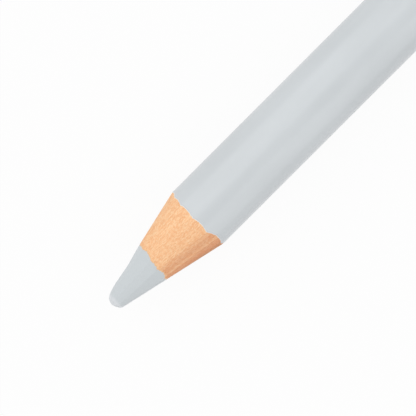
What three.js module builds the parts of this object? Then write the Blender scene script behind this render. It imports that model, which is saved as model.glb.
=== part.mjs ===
// A round pastel pencil, sharpened and a little used.
//
// Two grooved cedar slats are glued round a pressed pastel core. The blank is turned round, primed, coloured
// and varnished, then sharpened, so that one conical cut runs through every layer. The point is worn by drawing.
//
// Millimetres. X runs along the pencil towards the point, Y is across it and Z is up. The origin is on the
// surface that the pencil lies on, below the middle of its length.

import * as THREE from "three";

// The finished pencil
const PENCIL_LENGTH = 175;
const BARREL_DIAMETER = 8;

// The pastel core and the glue that holds it
const CORE_DIAMETER = 4.82;
const CORE_OFFSET = { y: -0.06, z: 0.04 }; // from the middle of the barrel
const CORE_GLUE_THICKNESS = 0.025;

// The glue line between the two slats, on each side of the core
const SEAM_GLUE_THICKNESS = 0.04;

// The lacquer, from the wood outwards
const PRIMER_THICKNESS = 0.01;
const COLOUR_THICKNESS = 0.02;
const CLEAR_THICKNESS = 0.01;

// The sharpened cone
const CONE_ANGLE = 25.3; // degrees, across the whole cone
const CONE_OFFSET = { y: 0.015, z: 0.03 }; // from the middle of the barrel
const APEX_BEYOND_POINT = 4.25; // how much of the cone's sharp end is gone

// The blade leaves shallow flats round the cone, uneven because a hand turns the pencil. The ridges between the
// flats are at these angles from the top of the pencil, in degrees towards +Y, and drift a little on their way
// from the barrel down to the core.
const RIDGES_AT_BARREL = [-152, -119, -88, -59, -35.5, -6.5, 26.5, 73, 92, 117, 150, 180];
const RIDGES_AT_CORE = [-155, -126, -98, -73, -50, -7.5, 21, 64.5, 91, 113, 146, 177];
const FLATNESS = 0.32; // 0 for a round cone, 1 for a pyramid

// The soft core is rubbed a little hollow on its -Y side.
const HOLLOW_DEPTH = 0.115;
const HOLLOW_BEHIND_POINT = 3.7;
const HOLLOW_REACH = 1.9; // lengthwise, from its middle to where it has mostly gone

// The worn point, a blunt cone with a rounded top that runs into the sharpened cone in a soft edge
const WORN_ANGLE = 112; // degrees, across the blunt cone
const WORN_TOP_RADIUS = 0.67;
const WORN_OFFSET = { y: 0.03, z: -0.15 }; // from the middle of the barrel
const WORN_EDGE_BLEND = 1.23;
const WORN_EDGE_BIAS = 0.57; // how much softer the edge is towards -Y, and crisper towards +Y

// Facets
const ARC_STEPS = 69; // round each half of the barrel; odd, so that a facet lies flat underneath
const CORE_STEPS = 14; // from the point out to the edge of the core
const SLAT_STEPS = 4; // from the groove out to the barrel

const CORE_COLOUR = "#ced3d6";
const WOOD_COLOUR = "#f3c394";
const GLUE_COLOUR = "#e9ddc4";
const PRIMER_COLOUR = "#eff1f1";
const BARREL_COLOUR = "#cdd2d5";
const CLEAR_COLOUR = "#d2d7da";

// Radii that follow from the sizes above, from the core outwards
const coreRadius = CORE_DIAMETER / 2;
const grooveRadius = coreRadius + CORE_GLUE_THICKNESS;
const clearRadius = BARREL_DIAMETER / 2;
const colourRadius = clearRadius - CLEAR_THICKNESS;
const primerRadius = colourRadius - COLOUR_THICKNESS;
const slatRadius = primerRadius - PRIMER_THICKNESS;

// The cone narrows by this much radius for each millimetre towards its apex.
const coneSlope = Math.tan(THREE.MathUtils.degToRad(CONE_ANGLE / 2));
const apexX = PENCIL_LENGTH + APEX_BEYOND_POINT;
const hollowRadius = coneSlope * (APEX_BEYOND_POINT + HOLLOW_BEHIND_POINT);

// The blunt cone falls back by this much length for each millimetre of radius.
const wornFall = 1 / Math.tan(THREE.MathUtils.degToRad(WORN_ANGLE / 2));

// The lower of two heights, with the edge where they meet rounded over a width.
function blendedMinimum(a, b, width) {
  const closeness = Math.max(width - Math.abs(a - b), 0);
  return Math.min(a, b) - (closeness * closeness) / (4 * width);
}

// The share of the ridges' radius that is left at an angle round the cone. A true flat between two ridges leaves
// cos(half its width) / cos(angle from its middle), and the real ones are only partly flat.
function shareLeftByFlats(radius, around) {
  const towardsBarrel = THREE.MathUtils.inverseLerp(coreRadius, clearRadius, radius);
  const drift = THREE.MathUtils.clamp(towardsBarrel, 0, 1);
  const ridges = RIDGES_AT_CORE.map((angle, index) =>
    THREE.MathUtils.lerp(angle, RIDGES_AT_BARREL[index], drift),
  );
  const turn = 360;
  const ridgesRound = [ridges.at(-1) - turn, ...ridges, ridges[0] + turn];
  const degreesRound = THREE.MathUtils.radToDeg(around);
  const next = ridgesRound.findIndex((angle) => angle > degreesRound);
  const [from, to] = [ridgesRound[next - 1], ridgesRound[next]];
  const halfWidth = THREE.MathUtils.degToRad((to - from) / 2);
  const fromMiddle = THREE.MathUtils.degToRad(degreesRound - (from + to) / 2);
  return 1 - FLATNESS * (1 - Math.cos(halfWidth) / Math.cos(fromMiddle));
}

// How far the hollow in the core sets the surface back along X: a bell shape over the radius, deepest at -Y.
function hollowSetback(radius, around) {
  const fromMiddle = (radius - hollowRadius) / (coneSlope * HOLLOW_REACH);
  const side = (1 - Math.sin(around)) / 2;
  return ((side * HOLLOW_DEPTH) / coneSlope) * Math.exp(-(fromMiddle ** 2));
}

// The sharpener's cut: the x at which the material at a radius and angle round the cone's axis ends.
function coneX(radius, around) {
  const ridgeRadius = radius / shareLeftByFlats(radius, around);
  return apexX - ridgeRadius / coneSlope - hollowSetback(radius, around);
}

// The worn point: a hyperbola that is round at its top and falls off along the blunt cone.
function wornX(y, z) {
  const radius = Math.hypot(y - WORN_OFFSET.y, z - WORN_OFFSET.z);
  const roundness = WORN_TOP_RADIUS * wornFall ** 2;
  return PENCIL_LENGTH + roundness - Math.hypot(roundness, wornFall * radius);
}

// The x at which sharpening and wear leave the material at (y, z) in the pencil's section. Where the barrel is
// still whole, this surface passes through the lacquer at the start of the cone.
function sharpenedX(y, z) {
  const [fromAxisY, fromAxisZ] = [y - CONE_OFFSET.y, z - CONE_OFFSET.z];
  const radius = Math.hypot(fromAxisY, fromAxisZ);
  const around = Math.atan2(fromAxisY, fromAxisZ);
  const blend = WORN_EDGE_BLEND * (1 - WORN_EDGE_BIAS * Math.sin(around));
  return blendedMinimum(coneX(radius, around), wornX(y, z), blend);
}

// One circle of the section as points {y, z}. It starts at the left seam's upper edge and goes over the top, then
// from the right seam's lower edge round the bottom. Every circle has its seam corners at the same two heights,
// above and below the middle of the barrel, so pieces that meet and the seams between them share all corners.
function circle(radius, centre = { y: 0, z: 0 }) {
  const points = [];
  for (const side of [1, -1]) {
    const height = SEAM_GLUE_THICKNESS / 2 - side * centre.z;
    const first = Math.asin(height / radius);
    const last = Math.PI - first;
    for (let step = 0; step <= ARC_STEPS; step++) {
      const angle = THREE.MathUtils.lerp(first, last, step / ARC_STEPS);
      points.push({
        y: centre.y + side * radius * Math.cos(angle),
        z: centre.z + side * radius * Math.sin(angle),
      });
    }
  }
  return points;
}

// A set of circles stepping evenly from one to another, both included.
function circlesBetween(inner, outer, steps) {
  return Array.from({ length: steps + 1 }, (_, step) =>
    inner.map((point, index) => ({
      y: THREE.MathUtils.lerp(point.y, outer[index].y, step / steps),
      z: THREE.MathUtils.lerp(point.z, outer[index].z, step / steps),
    })),
  );
}

// A solid layer of the pencil: everything between the first and the last of its circles, and between two of
// their corners, from the flat rear end to the sharpened surface. With no corners given it goes all the way
// round. A circle may shrink to a point, and the faces that shrink to a line with it are left out.
function layer(circles, firstCorner = 0, lastCorner = circles[0].length) {
  const positions = [];
  const corner = (ring, index) => ring[index % ring.length];
  const front = (ring, index) => {
    const { y, z } = corner(ring, index);
    return [sharpenedX(y, z), y, z];
  };
  const rear = (ring, index) => {
    const { y, z } = corner(ring, index);
    return [0, y, z];
  };
  const same = (a, b) => a.every((value, axis) => value === b[axis]);
  const addTriangle = (a, b, c) => {
    if (!same(a, b) && !same(b, c) && !same(c, a)) positions.push(...a, ...b, ...c);
  };
  const addQuad = (a, b, c, d) => {
    addTriangle(a, b, c);
    addTriangle(a, c, d);
  };

  const inner = circles[0];
  const outer = circles.at(-1);
  for (let left = firstCorner; left < lastCorner; left++) {
    const right = left + 1;
    for (let step = 1; step < circles.length; step++) {
      const [near, far] = [circles[step - 1], circles[step]];
      addQuad(front(near, left), front(far, left), front(far, right), front(near, right));
    }
    addQuad(rear(inner, left), rear(inner, right), rear(outer, right), rear(outer, left));
    addQuad(rear(outer, left), rear(outer, right), front(outer, right), front(outer, left));
    addQuad(rear(inner, right), rear(inner, left), front(inner, left), front(inner, right));
  }

  const goesRound = lastCorner - firstCorner === inner.length;
  if (!goesRound) {
    const fanCorner = (index) => rear(inner, index);
    addTriangle(fanCorner(firstCorner), rear(outer, firstCorner), front(outer, firstCorner));
    addTriangle(fanCorner(lastCorner), front(outer, lastCorner), rear(outer, lastCorner));
    for (let step = 1; step < circles.length; step++) {
      const [near, far] = [circles[step - 1], circles[step]];
      addTriangle(fanCorner(firstCorner), front(far, firstCorner), front(near, firstCorner));
      addTriangle(fanCorner(lastCorner), front(near, lastCorner), front(far, lastCorner));
    }
  }

  const geometry = new THREE.BufferGeometry();
  geometry.setAttribute("position", new THREE.Float32BufferAttribute(positions, 3));
  geometry.computeVertexNormals();
  return geometry;
}

function namedMesh(name, geometry, color, roughness) {
  const material = new THREE.MeshStandardMaterial({ color, roughness, metalness: 0 });
  const mesh = new THREE.Mesh(geometry, material);
  mesh.name = name;
  return mesh;
}

// The circles on which neighbouring pieces meet
const coreCircle = circle(coreRadius, CORE_OFFSET);
const grooveCircle = circle(grooveRadius, CORE_OFFSET);
const slatCircle = circle(slatRadius);
const primerCircle = circle(primerRadius);
const colourCircle = circle(colourRadius);
const clearCircle = circle(clearRadius);

// The corners at which the slats and the seams between them start and end
const upperStart = 0;
const upperEnd = ARC_STEPS;
const lowerStart = upperEnd + 1;
const lowerEnd = lowerStart + ARC_STEPS;
const fullTurn = lowerEnd + 1;

// The core's circles draw together to the middle of the worn point, so that its foremost spot is a corner.
const wornCentre = coreCircle.map(() => WORN_OFFSET);
const coreCircles = circlesBetween(wornCentre, coreCircle, CORE_STEPS);
const slatCircles = circlesBetween(grooveCircle, slatCircle, SLAT_STEPS);

const coreMesh = namedMesh("pastel_core", layer(coreCircles), CORE_COLOUR, 0.95);

const coreGlueMesh = namedMesh("core_glue_sleeve", layer([coreCircle, grooveCircle]), GLUE_COLOUR, 0.6);

const upperSlatMesh = namedMesh("upper_slat", layer(slatCircles, upperStart, upperEnd), WOOD_COLOUR, 0.8);

const lowerSlatMesh = namedMesh("lower_slat", layer(slatCircles, lowerStart, lowerEnd), WOOD_COLOUR, 0.8);

const rightSeamMesh = namedMesh("right_seam_glue", layer(slatCircles, upperEnd, lowerStart), GLUE_COLOUR, 0.6);

const leftSeamMesh = namedMesh("left_seam_glue", layer(slatCircles, lowerEnd, fullTurn), GLUE_COLOUR, 0.6);

const primerMesh = namedMesh("primer_coat", layer([slatCircle, primerCircle]), PRIMER_COLOUR, 0.7);

const colourMesh = namedMesh("colour_coat", layer([primerCircle, colourCircle]), BARREL_COLOUR, 0.45);

const clearMesh = namedMesh("clear_coat", layer([colourCircle, clearCircle]), CLEAR_COLOUR, 0.25);

// The barrel lies on its lowest facet, with the middle of its length over the origin.
const assembly = new THREE.Group();
assembly.add(coreMesh, coreGlueMesh, upperSlatMesh, lowerSlatMesh, leftSeamMesh, rightSeamMesh);
assembly.add(primerMesh, colourMesh, clearMesh);
assembly.position.set(-PENCIL_LENGTH / 2, 0, -Math.min(...clearCircle.map(({ z }) => z)));

const pencil = new THREE.Group();
pencil.add(assembly);

export default pencil;
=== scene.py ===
"""A round pastel pencil lying on a white table, seen from above and close to its sharpened end.

Every layer that shows is a fine surface worked out with numpy, on the same round section as the frame's
solids: the pressed pastel core, the two cedar slats, their glue lines and the films of lacquer. One
sharpened surface, a height over the section, ends them all. Lengths are metres, X runs towards the point
and Z is up.
"""
import math

import bpy
import numpy as np
from mathutils import Matrix, Vector


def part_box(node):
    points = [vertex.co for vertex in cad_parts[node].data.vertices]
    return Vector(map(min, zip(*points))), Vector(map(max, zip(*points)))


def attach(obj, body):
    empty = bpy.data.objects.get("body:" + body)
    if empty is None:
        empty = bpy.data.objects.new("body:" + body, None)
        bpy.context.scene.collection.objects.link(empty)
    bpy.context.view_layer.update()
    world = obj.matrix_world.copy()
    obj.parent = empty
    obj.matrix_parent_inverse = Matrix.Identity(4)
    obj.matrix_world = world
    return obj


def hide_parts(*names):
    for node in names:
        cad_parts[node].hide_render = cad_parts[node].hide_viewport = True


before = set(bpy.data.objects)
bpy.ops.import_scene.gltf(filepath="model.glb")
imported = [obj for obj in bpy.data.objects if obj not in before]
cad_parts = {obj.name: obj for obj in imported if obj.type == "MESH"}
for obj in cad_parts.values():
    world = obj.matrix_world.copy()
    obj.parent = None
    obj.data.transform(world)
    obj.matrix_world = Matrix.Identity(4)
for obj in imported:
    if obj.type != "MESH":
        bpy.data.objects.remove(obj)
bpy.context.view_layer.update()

MM = 0.001


def half_width(node):
    """Half of a node's size across the pencil, along Y."""
    low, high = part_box(node)
    return (high[1] - low[1]) / 2


# The section and the ends of the pencil, read from the frame. A centre is a (y, z) measured from the axis.
varnish_low, varnish_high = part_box("clear_coat")
core_low, core_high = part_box("pastel_core")
seam_low, seam_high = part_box("left_seam_glue")
REAR_X = core_low[0]
POINT_X = core_high[0]
AXIS_Z = (varnish_low[2] + varnish_high[2]) / 2
BARREL_CENTRE = np.zeros(2)
CORE_CENTRE = np.array([(core_low[1] + core_high[1]) / 2, (core_low[2] + core_high[2]) / 2 - AXIS_Z])
CORE_RADIUS = half_width("pastel_core")
GROOVE_RADIUS = half_width("core_glue_sleeve")
SLAT_RADIUS = half_width("upper_slat")
PRIMER_RADIUS = half_width("primer_coat")
VARNISH_RADIUS = (varnish_high[2] - varnish_low[2]) / 2
SEAM_HALF_HEIGHT = (seam_high[2] - seam_low[2]) / 2

# The sharpened cone, as the frame's solids have it
CONE_SLOPE = math.tan(math.radians(25.3 / 2))
CONE_CENTRE = np.array([0.015, 0.03]) * MM
APEX_BEYOND_POINT = 4.25 * MM

# The ridges between the blade's flats, in degrees from straight up towards +Y, and how flat the flats are,
# from 0 for a round cone to 1 for a pyramid. The soft core is rubbed flatter than the wood.
RIDGES_AT_BARREL = np.array([-152, -119, -88, -59, -35.5, -6.5, 26.5, 73, 92, 117, 150, 180])
RIDGES_AT_CORE = np.array([-155, -126, -98, -73, -50, -7.5, 21, 64.5, 91, 113, 146, 177])
RIDGES_AT_AXIS = np.array([-155, -126, -98, -73, -50, -7.5, 43, 64.5, 91, 113, 146, 177])
FLATNESS = 0.32
FLATNESS_OF_CORE = 0.7
CORE_FLATTENS_OVER = 0.1  # share of the core's radius, from its edge inwards

# The hollow that rubbing has left in the soft core, on its -Y side
HOLLOW_DEPTH = 0.115 * MM
HOLLOW_BEHIND_POINT = 3.7 * MM
HOLLOW_REACH = 1.9 * MM

# The worn point. Its edge is blended, more softly towards -Y.
WORN_FALL = 1 / math.tan(math.radians(112 / 2))
WORN_TOP_RADIUS = 0.67 * MM
WORN_CENTRE = np.array([0.03, -0.15]) * MM
WORN_EDGE_BLEND = 1.23 * MM
WORN_EDGE_BIAS = 0.57
WORN_RIM = 0.45 * MM  # lengthwise, across which the blade's dense surface turns into worn powder
WORN_RIM_SETBACK = 0.17  # share of the blend that is rounded over but not powdery

# Depths of the surface detail, square to the surface
FIBRE_DEPTH = 0.012 * MM
GRAIN_DEPTH = 0.004 * MM
GRAIN_WORN_OFF = 0.7  # share of the grain's depth that wear has taken off the point
VARNISH_WAVE_DEPTH = 0.003 * MM
VARNISH_WAVES_FROM = 1 * MM  # behind the lacquer's cut edge, where its waves reach their full depth

# The saw marks on the rear end run along this (y, z).
SAW_MARK_DEPTH = 0.02 * MM
SAW_DIRECTION = np.array([0.92, 0.39])

# How far nicks in the lacquer's cut edge, and crumbs torn from the joint of core and wood, reach backwards
NICK_LENGTH = 0.2 * MM
LONG_NICK_LENGTH = 0.24 * MM
LONG_NICK_AT = math.radians(92)  # from straight up towards +Y
LONG_NICK_HALF_ANGLE = math.radians(22)
PRIMER_NICKED = 0.9  # share of the lacquer's nicks that the primer's edge has
CRUMB_LENGTH = 0.1 * MM
CRUMB_REACH = 0.1 * MM  # across the joint, to each side of it
WHOLE_JOINT_HALF_ANGLE = math.radians(22)  # round +Y and -Y, where nothing is torn

# Heights of the shaders' bump
PEEL_HEIGHT = 0.0012 * MM
CUT_FIBRE_HEIGHT = 0.012 * MM
POWDER_HEIGHT = 0.005 * MM
CUT_FILM_HEIGHT = 0.003 * MM
BLADE_RING_SHARE = 0.35  # height of the blade's rings over that of the powder

# How finely the surfaces are divided
CORE_COLUMNS = 600
CORE_FRONT_ROWS = 130
CORE_REAR_ROWS = 30
SLAT_COLUMNS = 420
SLAT_FRONT_ROWS = 180
SLAT_REAR_ROWS = 36
SEAM_COLUMNS = 5
SEAM_REAR_STEP = 6  # a seam's rear end keeps one row of this many
PRIMER_COLUMNS = 900
FILM_ROWS = 3
LACQUER_COLUMNS = 640
LACQUER_FRONT_ROWS = 5
LACQUER_WALL_ROWS = 140

# The cedar's growth rings are planes, because the middle of the tree is far away. The layers say where in a
# ring each one starts, as a share of the ring, and the tint that it gives. The tints are partly the denser
# and darker latewood and partly painted shade: the tilt and phase put the darker layers on the +Y side,
# away from the softbox, and the greyish last one stands for the light falling off towards the +Y edge. The
# phase, wander and fray are shares of a ring too.
RING_SPACING = 7.6 * MM
RING_TILT = math.radians(36)
RING_PHASE = 0.816
RING_WANDER = 0.12
RING_FRAY = 0.02
RING_TINTS_AND_PAINTED_SHADE = (
    (0.0, "#ffffff"),
    (0.225, "#fdfbfa"),
    (0.507, "#f6edeb"),
    (0.567, "#f0e0dc"),
    (0.66, "#f6edeb"),
    (0.71, "#ecd7d2"),
    (0.78, "#e9cfc9"),
    (0.815, "#dbc6be"),
)

# The table. The camera sees it as even white, apart from this share that takes light and shadow.
TABLE_SIZE = 12
SHADOW_SHARE = 0.06

# The sky's strength overhead, and at the horizon on the softbox's side (-Y) and on the fill's side (+Y)
SKY_OVERHEAD = 0.91
SKY_EVEN_FROM = 0.7  # the sine of the height above the horizon from which the sky is even
HORIZON_TOWARDS_SOFTBOX = 1.03
HORIZON_TOWARDS_FILL = 0.08

# Both panels of light stand square to the pencil, over this x and at this distance from it. Angles are
# measured from straight up towards +Y. A radiance is the lamp's watts over pi times its area.
PANEL_X = 0.10
PANEL_DISTANCE = 0.62
SOFTBOX_FROM_ZENITH = math.radians(-36.5)
SOFTBOX_HALF_ANGLE = math.radians(34.5)
SOFTBOX_LENGTH = 0.16
SOFTBOX_RADIANCE = 1.35
FILL_FROM_ZENITH = math.radians(61)
FILL_HALF_ANGLE = math.radians(28)
FILL_LENGTH = 0.30
FILL_RADIANCE = 1.05

# The photograph's view: a square frame with the pencil's axis on its falling diagonal
FRAME_PIXELS = 416
BARREL_WIDTH_PIXELS = 72.45
POINT_BEYOND_MIDDLE = 15.11 * MM  # from the middle of the picture to the point, along the pencil
MIDDLE_BESIDE_AXIS = 0.027 * MM  # the middle of the picture lies this far towards +Y
TILT = math.radians(3.0)  # the view leans this much, which puts the point further away
LENS_MM = 300
SENSOR_MM = 36


def polar(section, centre):
    """Each (y, z)'s distance from a centre, and its angle from straight up towards +Y."""
    y, z = np.moveaxis(section - centre, -1, 0)
    return np.hypot(y, z), np.arctan2(y, z)


def shares_left_by_flats(radius, around):
    """The share of the ridges' radius left at each angle round the cone.

    Each angle lies in a flat between two ridges. A true flat leaves cos(half its width) over cos(angle from
    its middle), and the flatness says how far the real ones go from round to flat. The ridges drift evenly
    from the barrel to the core's edge, and on to the axis.
    """
    outwards = np.clip((radius - CORE_RADIUS) / (VARNISH_RADIUS - CORE_RADIUS), 0, 1)[..., None]
    inwards = np.clip(1 - radius / CORE_RADIUS, 0, 1)[..., None]
    ridges = RIDGES_AT_CORE + (RIDGES_AT_BARREL - RIDGES_AT_CORE) * outwards
    ridges = ridges + (RIDGES_AT_AXIS - RIDGES_AT_CORE) * inwards
    ridges = np.concatenate([ridges[..., -1:] - 360, ridges, ridges[..., :1] + 360], axis=-1)
    degrees = np.degrees(around)[..., None]
    following = np.argmax(ridges > degrees, axis=-1)[..., None]
    to_ridge = np.take_along_axis(ridges, following, axis=-1)
    from_ridge = np.take_along_axis(ridges, following - 1, axis=-1)
    half = np.radians((to_ridge - from_ridge) / 2)
    off_middle = np.radians(degrees - (to_ridge + from_ridge) / 2)
    flatness = FLATNESS + (FLATNESS_OF_CORE - FLATNESS) * np.minimum(1, inwards / CORE_FLATTENS_OVER)
    return (1 - flatness * (1 - np.cos(half) / np.cos(off_middle)))[..., 0]


def sharpened(section):
    """The x at which sharpening and wear leave the material at each (y, z), and how powdery it is, 0 to 1.

    It is the lower of the blade's cone and the worn point, with the edge between them blended. The cone is
    the apex less the radius over the slope, with the flats and the hollow, and the worn point is a
    hyperbola of revolution. The blend takes off the square of their closeness over four times its width.
    """
    radius, around = polar(section, CONE_CENTRE)
    cone = POINT_X + APEX_BEYOND_POINT - radius / shares_left_by_flats(radius, around) / CONE_SLOPE
    hollow_radius = CONE_SLOPE * (APEX_BEYOND_POINT + HOLLOW_BEHIND_POINT)
    bell = np.exp(-(((radius - hollow_radius) / (CONE_SLOPE * HOLLOW_REACH)) ** 2))
    side = (1 - np.sin(around)) / 2
    cone = cone - side * bell * HOLLOW_DEPTH / CONE_SLOPE

    roundness = WORN_TOP_RADIUS * WORN_FALL**2
    from_worn, _ = polar(section, WORN_CENTRE)
    worn = POINT_X + roundness - np.hypot(roundness, WORN_FALL * from_worn)

    blend = WORN_EDGE_BLEND * (1 - WORN_EDGE_BIAS * np.sin(around))
    closeness = np.maximum(blend - np.abs(cone - worn), 0)
    x = np.minimum(cone, worn) - closeness**2 / (4 * blend)
    past_rim = cone - worn - WORN_RIM_SETBACK * blend**2 / WORN_EDGE_BLEND
    return x, np.clip(past_rim / WORN_RIM + 0.5, 0, 1)


def along_cone(depth):
    """The shift along X that lowers the cone's surface by a depth measured square to it."""
    return depth / math.sin(math.atan(CONE_SLOPE))


def ripple(u, v, u_period, v_period, waves, seed):
    """A seeded sum of cosine waves over two coordinates, mostly between -1 and 1.

    The waves' rates are 0.4 to 1.6 times the one that u_period gives along u, and 0.1 to 1.6 times
    v_period's along v.
    """
    rng = np.random.default_rng(seed)
    u_rate = 2 * math.pi / u_period * rng.uniform(0.4, 1.6, waves) * rng.choice([-1, 1], waves)
    v_rate = 2 * math.pi / v_period * rng.uniform(0.1, 1.6, waves)
    phase = rng.uniform(0, 2 * math.pi, waves)
    total = np.zeros(np.broadcast(u, v).shape)
    for wave in range(waves):
        total += np.cos(u * u_rate[wave] + v * v_rate[wave] + phase[wave])
    return total / math.sqrt(2 * waves)


def ripple_round(arc, period, seed):
    """Waves that depend on the distance round the pencil alone."""
    return ripple(arc, 0 * arc, u_period=period, v_period=1.0, waves=30, seed=seed)


def from_zero_to_one(waves, limit):
    """Waves cut off at plus and minus a limit, and scaled so that they run from 0 to 1."""
    return (1 + np.clip(waves, -limit, limit) / limit) / 2


def round_the_axis(section):
    """Distance round the pencil at each point of the section: the angle times the radius."""
    radius, around = polar(section, BARREL_CENTRE)
    return radius * around


def wood_relief(section, x):
    """How far the wood lies below the cut, square to it: fine fibres along the grain, on soft bundles."""
    arc = round_the_axis(section)
    fibres = ripple(arc, x, u_period=0.09 * MM, v_period=2.6 * MM, waves=40, seed=21)
    bundles = ripple(arc, x, u_period=0.34 * MM, v_period=5.5 * MM, waves=24, seed=22)
    return FIBRE_DEPTH * from_zero_to_one(0.6 * fibres + 0.4 * bundles, limit=1.6)


def pastel_relief(section, x):
    """How far the core lies below the cut, square to it: chalk grains, and faint rings from the blade."""
    arc = round_the_axis(section)
    grains = ripple(arc, x, u_period=0.16 * MM, v_period=0.16 * MM, waves=48, seed=31)
    rings = ripple(x, arc, u_period=0.12 * MM, v_period=14 * MM, waves=24, seed=32)
    return GRAIN_DEPTH * from_zero_to_one(0.7 * grains + 0.3 * rings, limit=1.6)


def sawn_x(section):
    """The x of the sawn rear end: flat, with shallow saw marks cut inwards, which run aslant across it."""
    y, z = np.moveaxis(section, -1, 0)
    run_y, run_z = SAW_DIRECTION
    along_marks = y * run_y + z * run_z
    across_marks = z * run_y - y * run_z
    marks = ripple(across_marks, along_marks, u_period=0.22 * MM, v_period=9 * MM, waves=24, seed=5)
    return REAR_X + SAW_MARK_DEPTH * from_zero_to_one(marks, limit=2)


def chips(section):
    """How far the lacquer's cut edge is nicked back along the pencil.

    It is the tops of waves 0.8 mm long, a fine roughness, and a bell curve for the one long nick on the
    +Y side.
    """
    arc = round_the_axis(section)
    nicks = np.clip(ripple_round(arc, 0.8 * MM, seed=41) - 0.5, 0, 1)
    roughness = np.abs(ripple_round(arc, 0.2 * MM, seed=42))
    _, around = polar(section, BARREL_CENTRE)
    long_nick = np.exp(-(((around - LONG_NICK_AT) / LONG_NICK_HALF_ANGLE) ** 2))
    return NICK_LENGTH * (0.7 * nicks + 0.3 * roughness) + LONG_NICK_LENGTH * long_nick


def torn_at_core(section):
    """How far crumbs torn from the joint of core and wood set both back along the pencil.

    It is waves 0.6 and 0.2 mm long round the groove's circle. They fade out as a bell curve away from the
    circle, and as another towards the whole joint at +Y and -Y.
    """
    radius, around = polar(section, CORE_CENTRE)
    arc = GROOVE_RADIUS * around
    crumbs = np.clip(ripple_round(arc, 0.6 * MM, seed=43), -1, 1.2)
    crumbs = crumbs + 0.6 * ripple_round(arc, 0.2 * MM, seed=44)
    near = np.exp(-(((radius - GROOVE_RADIUS) / CRUMB_REACH) ** 2))
    whole = np.exp(-(((np.abs(around) - math.pi / 2) / WHOLE_JOINT_HALF_ANGLE) ** 2))
    return CRUMB_LENGTH * np.clip(0.5 + 0.5 * crumbs, 0, 1.2) * near * (1 - whole)


def full_circle(radius, centre, count):
    """Points of a whole circle in the section, counted from +Y towards +Z."""
    angles = np.linspace(0, 2 * math.pi, count, endpoint=False)
    return centre + radius * np.stack([np.cos(angles), np.sin(angles)], axis=-1)


def arc_between_seams(radius, centre, side, steps):
    """Half of a circle, above (side 1) or below (side -1) the seam, with its ends on the seam's faces."""
    first = math.asin((SEAM_HALF_HEIGHT - side * centre[1]) / radius)
    angles = np.linspace(first, math.pi - first, steps + 1)
    return centre + side * radius * np.stack([np.cos(angles), np.sin(angles)], axis=-1)


def spread(inner, outer, rows):
    """Rows of the section, evenly spaced from one of its lines, or a point, to another line."""
    shares = np.linspace(0, 1, rows)[:, None, None]
    return inner + (outer - inner) * shares


def raised(section, x):
    """Points in space from (y, z) of the section and an x for each."""
    y, z = np.moveaxis(section, -1, 0)
    return np.stack([np.broadcast_to(x, y.shape), y, z + AXIS_Z], axis=-1)


def profile_rows(front, rear, wall=None, inner_wall=True):
    """The rows of a layer's profile and the numbers of its corner rows.

    The front goes from inside to outside, then come the outer wall's own rows, the rear from outside to
    inside and, by closing the loop, the inner wall.
    """
    parts = [front, rear[::-1]] if wall is None else [front, wall, rear[::-1]]
    rows = np.concatenate(parts)
    corner_rows = [len(front) - 1, len(rows) - len(rear)]
    if inner_wall:
        corner_rows += [0, len(rows) - 1]
    return rows, corner_rows


def solid(name, rows, corner_rows, closes_round, poles=False, **attributes):
    """A closed mesh from rows of points along a layer's profile, a column for each angle round the axis.

    Neighbouring points make quads. The rows close into a loop, or start and end in a pole, a row that
    counts as one point. The columns close into a ring, or end in two flat caps. Edges along the corner
    rows and round the caps are sharp. Each attribute gives a number for every point.
    """
    row_count, column_count = rows.shape[:2]
    row_of = np.repeat(np.arange(row_count), column_count)
    column_of = np.tile(np.arange(column_count), row_count)
    kept = np.ones(row_count * column_count, bool)
    if poles:
        kept = (column_of == 0) | ((row_of > 0) & (row_of < row_count - 1))
    index = (np.cumsum(kept) - 1).reshape(row_count, column_count)
    if poles:
        index[[0, -1]] = index[[0, -1], :1]
    ring = np.concatenate([index, index[:, :1]], axis=1) if closes_round else index
    loop = ring if poles else np.concatenate([ring, ring[:1]])
    quads = np.stack([loop[:-1, :-1], loop[1:, :-1], loop[1:, 1:], loop[:-1, 1:]], axis=-1)
    faces = [quads[1:-1].reshape(-1, 4) if poles else quads.reshape(-1, 4)]
    if poles:
        faces += [quads[0][:, [0, 1, 2]], quads[-1][:, [0, 1, 3]]]
    if not closes_round:
        faces += [index[None, ::-1, 0], index[None, :, -1]]

    corners = np.concatenate([face.reshape(-1) for face in faces])
    sizes = np.concatenate([np.full(len(face), face.shape[1]) for face in faces])
    mesh = bpy.data.meshes.new(name)
    mesh.vertices.add(int(kept.sum()))
    mesh.vertices.foreach_set("co", rows.reshape(-1, 3)[kept].astype(np.float32).reshape(-1))
    mesh.loops.add(len(corners))
    mesh.loops.foreach_set("vertex_index", corners.astype(np.int32))
    mesh.polygons.add(len(sizes))
    mesh.polygons.foreach_set("loop_start", (np.cumsum(sizes) - sizes).astype(np.int32))
    mesh.update(calc_edges=True)

    ends = np.empty(len(mesh.edges) * 2, np.int32)
    mesh.edges.foreach_get("vertices", ends)
    first_row, second_row = row_of[kept][ends].reshape(-1, 2).T
    first_column, second_column = column_of[kept][ends].reshape(-1, 2).T
    sharp = (first_row == second_row) & np.isin(first_row, corner_rows)
    if not closes_round:
        sharp |= (first_column == second_column) & np.isin(first_column, [0, column_count - 1])
    mesh.attributes.new("sharp_edge", "BOOLEAN", "EDGE").data.foreach_set("value", sharp)
    for attribute, values in attributes.items():
        layer = mesh.attributes.new(attribute, "FLOAT", "POINT")
        layer.data.foreach_set("value", values.reshape(-1)[kept].astype(np.float32))
    mesh.validate()
    piece = bpy.data.objects.new(name, mesh)
    bpy.context.scene.collection.objects.link(piece)
    return piece


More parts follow.
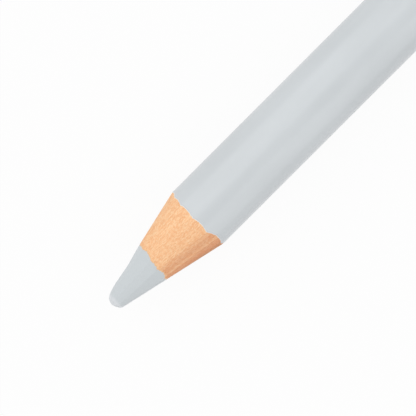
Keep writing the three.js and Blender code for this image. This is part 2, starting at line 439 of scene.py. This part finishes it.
def pastel_core():
    """The pressed core: the cut and worn surface in the core's circle, a plain wall and the sawn rear end.

    The front's rows spread to the circle from the worn point's centre, and the rear's from the core's. The
    first row is a pole, and no grain stands out past the frame's point.
    """
    rim = full_circle(CORE_RADIUS, CORE_CENTRE, CORE_COLUMNS)
    front_section = spread(WORN_CENTRE, rim, CORE_FRONT_ROWS)
    x, worn = sharpened(front_section)
    depth = along_cone(pastel_relief(front_section, x)) * (1 - GRAIN_WORN_OFF * worn)
    front = raised(front_section, x - depth - torn_at_core(front_section))
    front[0] = front[0, 0]
    front[..., 0] = np.minimum(front[..., 0], POINT_X)
    rear_section = spread(CORE_CENTRE, rim, CORE_REAR_ROWS)
    rear = raised(rear_section, sawn_x(rear_section))
    rows, corner_rows = profile_rows(front, rear, inner_wall=False)
    worn_rows = np.zeros(rows.shape[:2])
    worn_rows[: len(front)] = worn
    return solid("pressed_pastel_core", rows, corner_rows, closes_round=True, poles=True, worn=worn_rows)


def ring_film(name, inner_radius, outer_radius, centre, columns, nicked=0.0):
    """A thin layer all the way round: its cut front edge, plain walls and the sawn rear edge.

    The cut edge has this share, nicked, of the lacquer's nicks.
    """
    inner = full_circle(inner_radius, centre, columns)
    outer = full_circle(outer_radius, centre, columns)
    section = spread(inner, outer, FILM_ROWS)
    x, _ = sharpened(section)
    front = raised(section, x - nicked * chips(section) - torn_at_core(section))
    rear = raised(section, sawn_x(section))
    rows, corner_rows = profile_rows(front, rear)
    return solid(name, rows, corner_rows, closes_round=True)


def cedar_slat(name, side):
    """Half of the casing, with flat caps: the cut cone from the groove to the lacquer, and the sawn end."""
    groove = arc_between_seams(GROOVE_RADIUS, CORE_CENTRE, side, SLAT_COLUMNS)
    outer = arc_between_seams(SLAT_RADIUS, BARREL_CENTRE, side, SLAT_COLUMNS)
    front_section = spread(groove, outer, SLAT_FRONT_ROWS)
    x, _ = sharpened(front_section)
    depth = along_cone(wood_relief(front_section, x))
    front = raised(front_section, x - depth - torn_at_core(front_section))
    rear_section = spread(groove, outer, SLAT_REAR_ROWS)
    rear = raised(rear_section, sawn_x(rear_section))
    rows, corner_rows = profile_rows(front, rear)
    return solid(name, rows, corner_rows, closes_round=False)


def glue_seam(name, side):
    """The glue line between the slats on one side, 1 for +Y: a strip from the groove out to the primer."""
    z = side * np.linspace(-SEAM_HALF_HEIGHT, SEAM_HALF_HEIGHT, SEAM_COLUMNS)
    groove_y = CORE_CENTRE[0] + side * np.sqrt(GROOVE_RADIUS**2 - (z - CORE_CENTRE[1]) ** 2)
    outer_y = side * np.sqrt(SLAT_RADIUS**2 - z**2)
    section = spread(np.stack([groove_y, z], -1), np.stack([outer_y, z], -1), SLAT_FRONT_ROWS)
    x, _ = sharpened(section)
    front = raised(section, x - along_cone(FIBRE_DEPTH / 2) - torn_at_core(section))
    rear = raised(section, sawn_x(section))
    rear = np.concatenate([rear[:-SEAM_REAR_STEP:SEAM_REAR_STEP], rear[-1:]])
    rows, corner_rows = profile_rows(front, rear)
    return solid(name, rows, corner_rows, closes_round=False)


def lacquer_finish():
    """The grey coat under clear varnish: a nicked cut edge, a faintly wavy barrel and a sawn rear edge.

    The barrel's points are those of the outer circle, drawn in by waves that fade in behind the cut edge.
    """
    inner = full_circle(PRIMER_RADIUS, BARREL_CENTRE, LACQUER_COLUMNS)
    outer = full_circle(VARNISH_RADIUS, BARREL_CENTRE, LACQUER_COLUMNS)
    section = spread(inner, outer, LACQUER_FRONT_ROWS)
    x, _ = sharpened(section)
    front = raised(section, x - chips(section))
    rear = raised(section, sawn_x(section))
    front_x = front[-1, :, 0]
    rear_x = rear[-1, :, 0]
    wall_x = front_x + (rear_x - front_x) * np.linspace(0, 1, LACQUER_WALL_ROWS)[1:-1, None]
    waves = ripple(round_the_axis(outer), wall_x, u_period=7 * MM, v_period=16 * MM, waves=24, seed=51)
    fade = np.minimum(1, (front_x - wall_x) / VARNISH_WAVES_FROM)
    depth = VARNISH_WAVE_DEPTH * from_zero_to_one(waves, limit=1) * fade
    wall = raised(outer * (1 - depth / VARNISH_RADIUS)[..., None], wall_x)
    rows, corner_rows = profile_rows(front, rear, wall)
    return solid("grey_lacquer", rows, corner_rows, closes_round=True)


def linear(hex_colour):
    """A colour written as sRGB hex, as the linear RGBA that shaders take."""
    channels = [int(hex_colour[i : i + 2], 16) / 255 for i in (1, 3, 5)]
    return [c / 12.92 if c <= 0.04045 else ((c + 0.055) / 1.055) ** 2.4 for c in channels] + [1]


def add(tree, kind, inputs=None, **settings):
    """Adds a node with its settings. An input, by name or number, is a value or an output to link."""
    made = tree.nodes.new(kind)
    for name, value in settings.items():
        setattr(made, name, value)
    for name, value in (inputs or {}).items():
        if isinstance(value, bpy.types.NodeSocket):
            tree.links.new(value, made.inputs[name])
        else:
            made.inputs[name].default_value = value
    return made


def new_material(name):
    """An empty material and its node tree."""
    material = bpy.data.materials.new(name)
    material.use_nodes = True
    material.node_tree.nodes.clear()
    return material, material.node_tree


def stretched_noise(tree, place, size_mm, detail, roughness=0.5):
    """Noise whose blobs are about size_mm long along X, Y and Z of the object's own space."""
    inputs = {"Vector": place, "Scale": [size * MM for size in size_mm]}
    scaled = add(tree, "ShaderNodeMapping", inputs, vector_type="TEXTURE").outputs[0]
    inputs = {"Vector": scaled, "Scale": 1.0, "Detail": detail, "Roughness": roughness}
    return add(tree, "ShaderNodeTexNoise", inputs).outputs["Fac"]


def tinted(tree, colour, tint, pattern, low, high, at_low=0.0, at_high=1.0):
    """A colour mixed with a tint, whose share follows a pattern.

    The share goes smoothly from at_low to at_high as the pattern goes from low to high.
    """
    inputs = {"Value": pattern, "From Min": low, "From Max": high, "To Min": at_low, "To Max": at_high}
    share = add(tree, "ShaderNodeMapRange", inputs, interpolation_type="SMOOTHSTEP").outputs[0]
    return add(tree, "ShaderNodeMix", {0: share, 6: colour, 7: linear(tint)}, data_type="RGBA").outputs[2]


def lacquer_material():
    """Satin pencil lacquer, drawn on in thin coats.

    It is an opaque cool grey that light barely varies on, under a thin clear varnish whose soft sheen shows
    the softbox as a pale band along the barrel. The coats pool into clouds some mm wide and keep specks of
    dust of about 0.1 mm. The varnish has a faint orange peel of 0.6 to 0.9 mm.
    """
    material, tree = new_material("satin_pencil_lacquer")
    place = add(tree, "ShaderNodeTexCoord").outputs["Object"]
    clouds = stretched_noise(tree, place, (9, 3, 3), detail=2)
    specks = stretched_noise(tree, place, (0.12, 0.12, 0.12), detail=2)
    peel = stretched_noise(tree, place, (0.9, 0.6, 0.6), detail=2)
    grey = tinted(tree, linear("#c7cccf"), "#cbd0d3", clouds, low=0.3, high=0.7)
    grey = tinted(tree, grey, "#b8bfc2", specks, low=0.68, high=0.8, at_high=0.25)
    bump = add(tree, "ShaderNodeBump", {"Height": peel, "Strength": 1.0, "Distance": PEEL_HEIGHT})
    inputs = {
        "Base Color": grey,
        "Roughness": 0.5,
        "IOR": 1.5,
        "Coat Weight": 0.6,
        "Coat Roughness": 0.16,
        "Coat IOR": 1.5,
        "Normal": bump.outputs[0],
        "Coat Normal": bump.outputs[0],
    }
    shader = add(tree, "ShaderNodeBsdfPrincipled", inputs)
    add(tree, "ShaderNodeOutputMaterial", {"Surface": shader.outputs[0]})
    return material


def cedar_material():
    """Incense cedar cut by a blade.

    It is warm, pale orange wood with fine fibres along the pencil, paler ray flecks and short dark streaks
    of resin. It is redder and darker between the top and the +Y side, the side away from the softbox:
    partly where the cut meets the latewood of a growth ring, and partly painted shade, greyest towards the
    +Y edge.
    Real fibres are 0.03 to 0.05 mm wide, too fine to show, so they are drawn 0.11 mm wide, the size of a
    pixel. Their bundles, the ray flecks and the resin streaks have about their real sizes.
    """
    material, tree = new_material("cut_incense_cedar")
    place = add(tree, "ShaderNodeTexCoord").outputs["Object"]

    # The place in a growth ring: the distance across the rings, bent by slow noise and frayed by fibres.
    across = [part / RING_SPACING for part in (0, math.cos(RING_TILT), -math.sin(RING_TILT))]
    inputs = {0: place, 1: across}
    rings = add(tree, "ShaderNodeVectorMath", inputs, operation="DOT_PRODUCT").outputs["Value"]
    inputs = {0: stretched_noise(tree, place, (30, 2.5, 2.5), detail=2), 1: RING_WANDER, 2: rings}
    rings = add(tree, "ShaderNodeMath", inputs, operation="MULTIPLY_ADD").outputs[0]
    rings = add(tree, "ShaderNodeMath", {0: rings, 1: RING_PHASE}, operation="ADD").outputs[0]
    inputs = {0: stretched_noise(tree, place, (5, 0.15, 0.15), detail=1), 1: RING_FRAY, 2: rings}
    rings = add(tree, "ShaderNodeMath", inputs, operation="MULTIPLY_ADD").outputs[0]
    season = add(tree, "ShaderNodeMath", {0: rings}, operation="FRACT").outputs[0]
    # Ring tints: the latewood's own tone, with painted shade in the darker, greyer layers on the +Y side.
    ring_and_shade_tints = add(tree, "ShaderNodeValToRGB", {0: season})
    ring_and_shade_tints.color_ramp.interpolation = "CONSTANT"
    ring_and_shade_tints.color_ramp.elements.remove(ring_and_shade_tints.color_ramp.elements[1])
    ring_and_shade_tints.color_ramp.elements[0].color = linear(RING_TINTS_AND_PAINTED_SHADE[0][1])
    for start, tint in RING_TINTS_AND_PAINTED_SHADE[1:]:
        ring_and_shade_tints.color_ramp.elements.new(start).color = linear(tint)

    bundles = stretched_noise(tree, place, (4.5, 0.4, 0.4), detail=2)
    fibres = stretched_noise(tree, place, (2.0, 0.11, 0.11), detail=3, roughness=0.6)
    rays = stretched_noise(tree, place, (0.3, 0.13, 0.13), detail=2)
    resin = stretched_noise(tree, place, (0.8, 0.07, 0.07), detail=1)
    colour = tinted(tree, linear("#ffcfa0"), "#f2aa74", bundles, low=0.35, high=0.65, at_low=0.4, at_high=0)
    colour = tinted(tree, colour, "#e6a06c", fibres, low=0.3, high=0.7, at_low=0.48, at_high=0)
    colour = tinted(tree, colour, "#ffdcb2", rays, low=0.45, high=0.65, at_high=0.6)
    colour = tinted(tree, colour, "#cb8450", resin, low=0.66, high=0.74, at_high=0.5)
    # The ring tints, partly painted shade, multiply the wood's colour.
    inputs = {0: 1.0, 6: colour, 7: ring_and_shade_tints.outputs[0]}
    colour = add(tree, "ShaderNodeMix", inputs, data_type="RGBA", blend_type="MULTIPLY").outputs[2]

    relief = stretched_noise(tree, place, (2.4, 0.06, 0.06), detail=3, roughness=0.6)
    bump = add(tree, "ShaderNodeBump", {"Height": relief, "Strength": 1.0, "Distance": CUT_FIBRE_HEIGHT})
    inputs = {
        "Base Color": colour,
        "Roughness": 0.72,
        "IOR": 1.5,
        "Specular IOR Level": 0.35,
        "Normal": bump.outputs[0],
    }
    shader = add(tree, "ShaderNodeBsdfPrincipled", inputs)
    add(tree, "ShaderNodeOutputMaterial", {"Surface": shader.outputs[0]})
    return material


def pastel_material():
    """Pressed chalk pastel.

    It is dead matt cool grey of very fine grain, smooth where the blade cut it, and paler on the worn
    point.
    Real grains of chalk are about 0.01 mm, too fine to show, so they are drawn 0.11 mm, the size of a
    pixel.
    The rings that a nicked blade leaves have their real width, 0.08 mm.
    """
    material, tree = new_material("pressed_pastel")
    place = add(tree, "ShaderNodeTexCoord").outputs["Object"]
    worn = add(tree, "ShaderNodeAttribute", attribute_name="worn").outputs["Fac"]
    powder = stretched_noise(tree, place, (0.11, 0.11, 0.11), detail=4, roughness=0.7)
    clouds = stretched_noise(tree, place, (1.4, 0.7, 0.7), detail=2)
    rings = stretched_noise(tree, place, (0.08, 3, 3), detail=2)
    colour = tinted(tree, linear("#cfd4d7"), "#d5dadc", powder, low=0.3, high=0.7)
    colour = tinted(tree, colour, "#d6dbdd", clouds, low=0.3, high=0.7, at_high=0.2)
    # Paler where the attribute says the point is worn.
    inputs = {0: worn, 6: colour, 7: linear("#dde0e3")}
    colour = add(tree, "ShaderNodeMix", inputs, data_type="RGBA").outputs[2]
    inputs = {0: rings, 1: BLADE_RING_SHARE, 2: powder}
    height = add(tree, "ShaderNodeMath", inputs, operation="MULTIPLY_ADD").outputs[0]
    bump = add(tree, "ShaderNodeBump", {"Height": height, "Strength": 1.0, "Distance": POWDER_HEIGHT})
    inputs = {
        "Base Color": colour,
        "Roughness": 0.95,
        "IOR": 1.5,
        "Specular IOR Level": 0.2,
        "Diffuse Roughness": 0.6,
        "Normal": bump.outputs[0],
    }
    shader = add(tree, "ShaderNodeBsdfPrincipled", inputs)
    add(tree, "ShaderNodeOutputMaterial", {"Surface": shader.outputs[0]})
    return material


def cut_film_material(name, pale, dark, grain_mm, roughness):
    """Dried wood glue or white filler primer, where the blade has cut it.

    It is nearly one colour, a little smoother than the wood, with the fine grain that the blade leaves. The
    glue's grain is drawn out along the fibres, and the primer's is even.
    """
    material, tree = new_material(name)
    place = add(tree, "ShaderNodeTexCoord").outputs["Object"]
    grain = stretched_noise(tree, place, grain_mm, detail=3, roughness=0.6)
    colour = tinted(tree, linear(pale), dark, grain, low=0.3, high=0.7)
    bump = add(tree, "ShaderNodeBump", {"Height": grain, "Strength": 1.0, "Distance": CUT_FILM_HEIGHT})
    inputs = {"Base Color": colour, "Roughness": roughness, "IOR": 1.5, "Normal": bump.outputs[0]}
    shader = add(tree, "ShaderNodeBsdfPrincipled", inputs)
    add(tree, "ShaderNodeOutputMaterial", {"Surface": shader.outputs[0]})
    return material


def finish_piece(piece, material, slot, *nodes):
    """Gives a piece its material, attaches it to the root and hides the solids of the frame that it stands
    for.
    """
    piece.data.materials.append(material)
    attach(piece, "root")
    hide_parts(*nodes)


def build_pencil():
    """Makes every piece of the pencil and its material."""
    cedar = cedar_material()
    glue = cut_film_material("dried_wood_glue", "#f2c497", "#e8b583", (0.5, 0.06, 0.06), roughness=0.5)
    primer = cut_film_material("white_primer", "#f3f4f4", "#e6e8e8", (0.1, 0.1, 0.1), roughness=0.7)
    finish_piece(pastel_core(), pastel_material(), "pastel", "pastel_core")
    finish_piece(cedar_slat("upper_cedar_slat", 1), cedar, "cedar", "upper_slat")
    finish_piece(cedar_slat("lower_cedar_slat", -1), cedar, "cedar", "lower_slat")
    core_glue = ring_film("core_glue_line", CORE_RADIUS, GROOVE_RADIUS, CORE_CENTRE, CORE_COLUMNS)
    finish_piece(core_glue, glue, "glue", "core_glue_sleeve")
    finish_piece(glue_seam("left_glue_seam", 1), glue, "glue", "left_seam_glue")
    finish_piece(glue_seam("right_glue_seam", -1), glue, "glue", "right_seam_glue")
    primer_film = ring_film(
        "white_primer_film", SLAT_RADIUS, PRIMER_RADIUS, BARREL_CENTRE, PRIMER_COLUMNS, nicked=PRIMER_NICKED
    )
    finish_piece(primer_film, primer, "primer", "primer_coat")
    finish_piece(lacquer_finish(), lacquer_material(), "grey_lacquer", "colour_coat", "clear_coat")


def seen_directly(tree):
    """1 for camera, glossy and transmission rays, and 0 for the rays that light the object."""
    path = add(tree, "ShaderNodeLightPath").outputs
    inputs = {0: path["Is Camera Ray"], 1: path["Is Glossy Ray"]}
    either = add(tree, "ShaderNodeMath", inputs, operation="MAXIMUM").outputs[0]
    inputs = {0: either, 1: path["Is Transmission Ray"]}
    return add(tree, "ShaderNodeMath", inputs, operation="MAXIMUM").outputs[0]


def add_table():
    """A plain white table top: a matt surface for the light, and mostly an even white for the camera."""
    half = TABLE_SIZE / 2
    mesh = bpy.data.meshes.new("table_top")
    corners = [(-half, -half, 0), (half, -half, 0), (half, half, 0), (-half, half, 0)]
    mesh.from_pydata(corners, [], [(0, 1, 2, 3)])
    table = bpy.data.objects.new("table_top", mesh)
    bpy.context.scene.collection.objects.link(table)
    material, tree = new_material("white_table")
    paper = add(tree, "ShaderNodeBsdfDiffuse", {"Color": linear("#e1e1e1")}).outputs[0]
    white = add(tree, "ShaderNodeEmission", {"Color": linear("#ffffff"), "Strength": 1.0}).outputs[0]
    inputs = {0: seen_directly(tree), 1: 1 - SHADOW_SHARE}
    share = add(tree, "ShaderNodeMath", inputs, operation="MULTIPLY").outputs[0]
    surface = add(tree, "ShaderNodeMixShader", {0: share, 1: paper, 2: white})
    add(tree, "ShaderNodeOutputMaterial", {"Surface": surface.outputs[0]})
    mesh.materials.append(material)


def add_panel(name, from_zenith, half_angle, length, radiance):
    """A soft panel of light along the pencil, turned towards it, at an angle from straight up."""
    panel = bpy.data.lights.new(name, "AREA")
    panel.shape = "RECTANGLE"
    panel.size = length
    panel.size_y = 2 * PANEL_DISTANCE * math.tan(half_angle)
    panel.energy = radiance * math.pi * panel.size * panel.size_y
    lamp = bpy.data.objects.new(name, panel)
    bpy.context.scene.collection.objects.link(lamp)
    lamp.rotation_euler = (-from_zenith, 0, 0)
    away = Vector((0, math.sin(from_zenith), math.cos(from_zenith)))
    lamp.location = Vector((PANEL_X, 0, AXIS_Z)) + away * PANEL_DISTANCE
    lamp.visible_camera = False


def add_light():
    """Even white light from overhead, a softbox that draws the pale band, and a fill on the other side."""
    world = bpy.data.worlds.new("soft_studio")
    bpy.context.scene.world = world
    world.use_nodes = True
    tree = world.node_tree
    tree.nodes.clear()
    direction = add(tree, "ShaderNodeTexCoord").outputs["Generated"]
    parts = add(tree, "ShaderNodeSeparateXYZ", {"Vector": direction}).outputs
    inputs = {"Value": parts["Y"], "From Min": -1.0, "From Max": 1.0}
    inputs |= {"To Min": HORIZON_TOWARDS_SOFTBOX, "To Max": HORIZON_TOWARDS_FILL}
    horizon = add(tree, "ShaderNodeMapRange", inputs, interpolation_type="SMOOTHSTEP").outputs[0]
    inputs = {"Value": parts["Z"], "From Min": 0.0, "From Max": SKY_EVEN_FROM}
    inputs |= {"To Min": horizon, "To Max": SKY_OVERHEAD}
    strength = add(tree, "ShaderNodeMapRange", inputs, interpolation_type="SMOOTHSTEP").outputs[0]
    light = add(tree, "ShaderNodeBackground", {"Color": linear("#ffffff"), "Strength": strength}).outputs[0]
    white = add(tree, "ShaderNodeBackground", {"Color": linear("#ffffff"), "Strength": 1.0}).outputs[0]
    surface = add(tree, "ShaderNodeMixShader", {0: seen_directly(tree), 1: light, 2: white})
    add(tree, "ShaderNodeOutputWorld", {"Surface": surface.outputs[0]})
    add_panel("softbox", SOFTBOX_FROM_ZENITH, SOFTBOX_HALF_ANGLE, SOFTBOX_LENGTH, SOFTBOX_RADIANCE)
    add_panel("fill", FILL_FROM_ZENITH, FILL_HALF_ANGLE, FILL_LENGTH, FILL_RADIANCE)


def add_camera():
    """A long lens above the sharpened end, rolled so that the pencil points to the lower left."""
    along = Vector((math.cos(TILT), 0, math.sin(TILT)))
    back = Vector((-math.sin(TILT), 0, math.cos(TILT)))
    sideways = Vector((0, 1, 0))
    right = (sideways - along) / math.sqrt(2)
    up = -(sideways + along) / math.sqrt(2)
    frame_width = 2 * VARNISH_RADIUS * FRAME_PIXELS / BARREL_WIDTH_PIXELS
    middle = Vector((POINT_X - POINT_BEYOND_MIDDLE, MIDDLE_BESIDE_AXIS, AXIS_Z))
    data = bpy.data.cameras.new("camera")
    data.lens = LENS_MM
    data.sensor_width = SENSOR_MM
    camera = bpy.data.objects.new("camera", data)
    bpy.context.scene.collection.objects.link(camera)
    stand = Matrix((right, up, back)).transposed().to_4x4()
    stand.translation = middle + back * (frame_width * LENS_MM / SENSOR_MM)
    camera.matrix_world = stand
    bpy.context.scene.camera = camera


build_pencil()
add_table()
add_light()
add_camera()
bpy.context.scene.view_settings.view_transform = "Standard"
